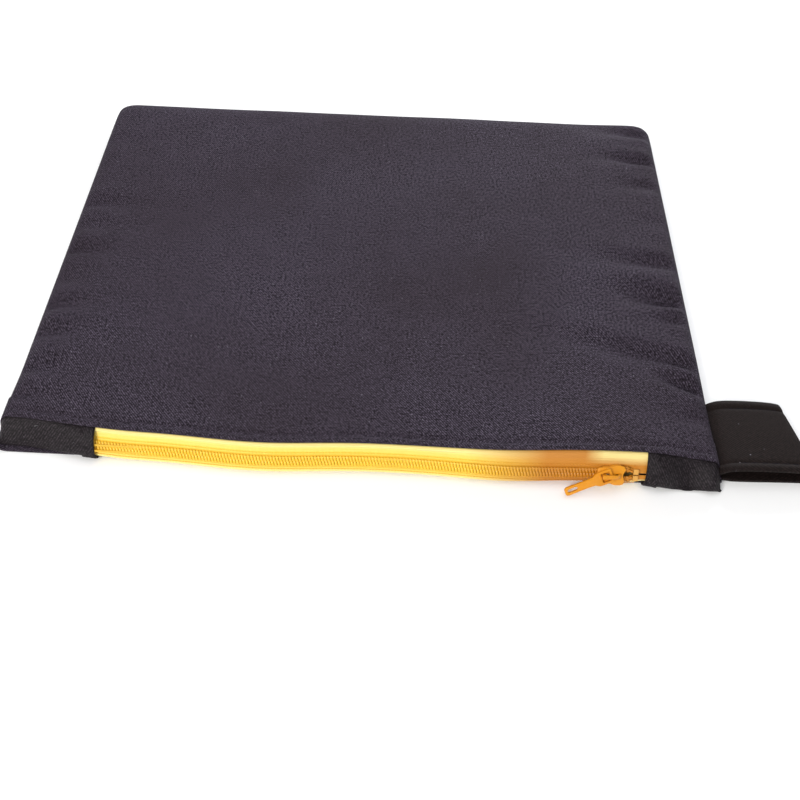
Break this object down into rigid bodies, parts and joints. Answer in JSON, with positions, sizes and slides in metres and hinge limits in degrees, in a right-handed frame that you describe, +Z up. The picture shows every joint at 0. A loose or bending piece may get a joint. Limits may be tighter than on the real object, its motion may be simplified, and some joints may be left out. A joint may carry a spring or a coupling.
{
  "type": "battery zip pouch",
  "caption": "Flat lined cloth pouch for battery packs with a coil zip along its mouth, fabric end tabs and a sewn hanging loop.",
  "frame": {"origin": "on the flat underside, midway between the side seams, 90 mm from the far seam", "axes": "+X along the zip towards its closed end, -Y out of the mouth, +Z up out of the front panel"},
  "size_m": [0.262, 0.1865, 0.0102],
  "materials": {
    "twill": "matt dark twill",
    "tab_twill": "matt dark twill",
    "strap_twill": "matt dark twill, folded and edge stitched",
    "lining": "coated glass cloth",
    "thread": "polyester thread",
    "zip_tape": "woven polyester tape",
    "zip_coil": "nylon coil",
    "filler_cord": "braided filler cord",
    "stop_metal": "painted crimp",
    "slider_paint": "painted die casting",
    "spring_steel": "spring strip"
  },
  "bodies": {
    "pouch": {"front_panel": "twill", "back_panel": "twill", "front_lining": "lining", "back_lining": "lining", "front_topstitching": "thread", "back_topstitching": "thread", "left_seam_thread": "thread", "right_seam_thread": "thread", "far_seam_thread": "thread", "zip_tape_upper": "zip_tape", "zip_tape_lower": "zip_tape", "end_tab_left": "tab_twill", "end_tab_right": "tab_twill", "zip_coil_upper": "zip_coil", "zip_coil_lower": "zip_coil", "coil_cord_upper": "filler_cord", "coil_cord_lower": "filler_cord", "top_stops": "stop_metal"},
    "slider": {"slider_body": "slider_paint", "slider_crown": "slider_paint", "lock_spring": "spring_steel"},
    "pull": {"pull_tab": "slider_paint"},
    "loop": {"loop_strap": "strap_twill", "loop_stitching": "thread"}
  },
  "joints": [
    {"name": "slider_travel", "type": "slide", "parent": "pouch", "child": "slider", "axis": [1, 0, 0], "range_m": [-0.16125, 0], "deforming": ["zip_coil_upper", "zip_coil_lower", "coil_cord_upper", "coil_cord_lower"]},
    {"name": "pull_swing", "type": "hinge", "parent": "slider", "child": "pull", "pos_m": [0.07837, -0.09178, 0.00703], "axis": [-0.4067, 0.524, 0.7483], "range_deg": [0, 95]},
    {"name": "loop_fold", "type": "hinge", "parent": "pouch", "child": "loop", "pos_m": [0.11515, 0, 0.0031], "axis": [0, -1, 0], "range_deg": [0, 120]}
  ]
}
